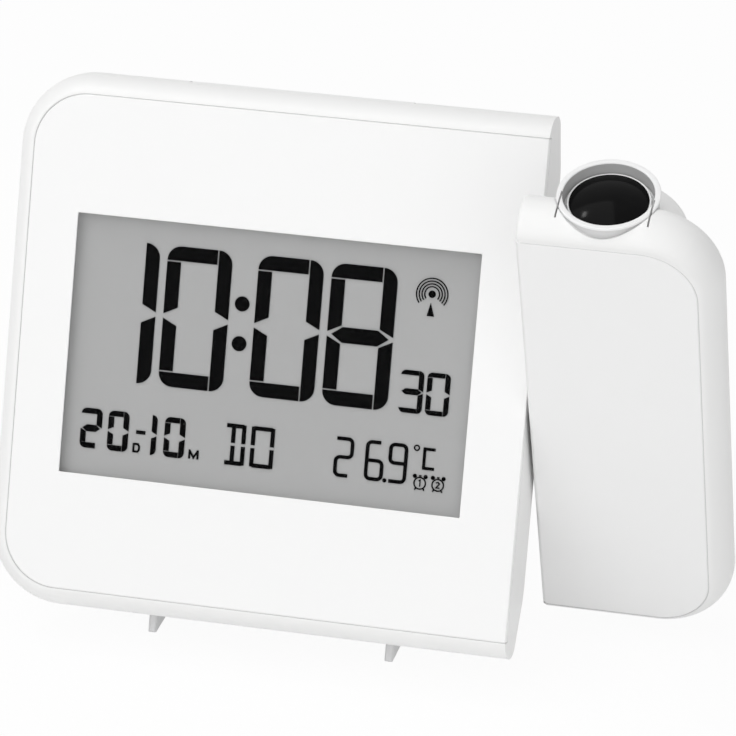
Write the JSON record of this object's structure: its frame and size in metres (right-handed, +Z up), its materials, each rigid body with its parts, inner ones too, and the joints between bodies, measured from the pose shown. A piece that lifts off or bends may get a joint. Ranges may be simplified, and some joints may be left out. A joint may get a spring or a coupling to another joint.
{
  "type": "projection alarm clock",
  "caption": "Slim leaning alarm clock with a segment display and a swivelling projector arm whose lens throws the time onto a ceiling.",
  "frame": {"origin": "middle of the bounding box in plan, on the table under the foot", "axes": "+X to the right along the face and the projector's hinge, +Y to the back, +Z up; the face looks towards -Y and leans back"},
  "size_m": [0.1244, 0.0476, 0.0938],
  "materials": {
    "white_casing": "satin moulded white",
    "white_face": "smooth white",
    "white_trim": "satin white",
    "clear_window": "clear",
    "display_grey": "reflective grey",
    "glass_panel": "glass",
    "light_guide": "translucent acrylic",
    "frame_black": "matt",
    "contact_rubber": "elastomer",
    "board_green": "solder mask",
    "metal_can": "tinned",
    "chip_black": "epoxy",
    "ferrite": "sintered",
    "copper_winding": "enamelled wire",
    "cell_wrap": "printed sleeve",
    "spring_steel": "plated",
    "screw_steel": "zinc plated",
    "foot_grey": "satin grey",
    "key_grey": "satin grey",
    "lens_black": "coated",
    "optic_glass": "polished",
    "led_red": "epoxy"
  },
  "bodies": {
    "clock_body": {"face_plate": "white_face", "display_window": "clear_window", "front_polarizer": "display_grey", "lcd_cell": "glass_panel", "backlight_guide": "light_guide", "backlight_led": "led_red", "lcd_frame": "frame_black", "zebra_strip": "contact_rubber", "main_board": "board_green", "tact_switches": "frame_black", "chip": "chip_black", "quartz_crystal": "metal_can", "temperature_sensor": "chip_black", "buzzer": "frame_black", "antenna_rod": "ferrite", "antenna_coil": "copper_winding", "switch_case": "metal_can", "power_inlet": "frame_black", "battery_cells": "cell_wrap", "battery_springs": "spring_steel", "battery_contacts": "spring_steel", "rear_housing": "white_casing", "housing_screws": "screw_steel", "hinge_pins": "screw_steel", "friction_washer": "spring_steel"},
    "projector_arm": {"arm_face_plate": "white_face", "arm_housing": "white_casing", "arm_screws": "screw_steel", "pivot_hub": "frame_black", "hub_clip": "spring_steel", "projector_lead": "contact_rubber", "projector_tube": "frame_black", "projection_lcd": "glass_panel", "condenser_lens": "optic_glass", "projector_led": "led_red", "projector_board": "board_green"},
    "focus_ring": {"focus_ring": "white_trim"},
    "lens_carrier": {"lens_cell": "white_trim", "objective_lens": "lens_black"},
    "foot": {"foot": "foot_grey"},
    "battery_door": {"battery_door": "white_casing"},
    "snooze_bar": {"snooze_bar": "white_trim"},
    "reset_button": {"reset_button": "key_grey"},
    "projection_switch": {"projection_switch": "key_grey"},
    "mode_button": {"mode_button": "key_grey"},
    "set_button": {"set_button": "key_grey"},
    "up_button": {"up_button": "key_grey"},
    "down_button": {"down_button": "key_grey"},
    "alarm_button": {"alarm_button": "key_grey"}
  },
  "joints": [
    {"name": "projector_tilt", "type": "hinge", "parent": "clock_body", "child": "projector_arm", "pos_m": [0.0293, -0.00109, 0.0466], "axis": [1, 0, 0], "range_deg": [-128.4, 51.6]},
    {"name": "focus_turn", "type": "hinge", "parent": "projector_arm", "child": "focus_ring", "pos_m": [0.04305, -0.01599, 0.09113], "axis": [0, -0.3223, 0.9466], "range_deg": [-150, 150]},
    {"name": "lens_advance", "type": "slide", "parent": "projector_arm", "child": "lens_carrier", "axis": [0, -0.3223, 0.9466], "range_m": [-0.000416, 0.000416]},
    {"name": "foot_fold", "type": "hinge", "parent": "clock_body", "child": "foot", "pos_m": [-0.0141, -0.00617, 0.00701], "axis": [1, 0, 0], "range_deg": [0, 68]},
    {"name": "door_slide", "type": "slide", "parent": "clock_body", "child": "battery_door", "axis": [-1, 0, 0], "range_m": [0, 0.052]},
    {"name": "snooze_press", "type": "slide", "parent": "clock_body", "child": "snooze_bar", "axis": [0, -0.3355, -0.9421], "range_m": [0, 0.0006], "stiffness_N_per_m": 3333},
    {"name": "projection_switch_slide", "type": "slide", "parent": "clock_body", "child": "projection_switch", "axis": [1, 0, 0], "range_m": [0, 0.0024]},
    {"name": "reset_press", "type": "slide", "parent": "clock_body", "child": "reset_button", "axis": [0, -0.9421, 0.3355], "range_m": [0, 0.0005], "stiffness_N_per_m": 2000},
    {"name": "mode_press", "type": "slide", "parent": "clock_body", "child": "mode_button", "axis": [0, -0.9421, 0.3355], "range_m": [0, 0.0005], "stiffness_N_per_m": 2400},
    {"name": "set_press", "type": "slide", "parent": "clock_body", "child": "set_button", "axis": [0, -0.9421, 0.3355], "range_m": [0, 0.0005], "stiffness_N_per_m": 2400},
    {"name": "up_press", "type": "slide", "parent": "clock_body", "child": "up_button", "axis": [0, -0.9421, 0.3355], "range_m": [0, 0.0005], "stiffness_N_per_m": 2400},
    {"name": "down_press", "type": "slide", "parent": "clock_body", "child": "down_button", "axis": [0, -0.9421, 0.3355], "range_m": [0, 0.0005], "stiffness_N_per_m": 2400},
    {"name": "alarm_press", "type": "slide", "parent": "clock_body", "child": "alarm_button", "axis": [0, -0.9421, 0.3355], "range_m": [0, 0.0005], "stiffness_N_per_m": 2400}
  ],
  "couplings": [
    {"joint": "focus_turn", "follows": "lens_advance", "rad_per_m": 6283.2}
  ]
}
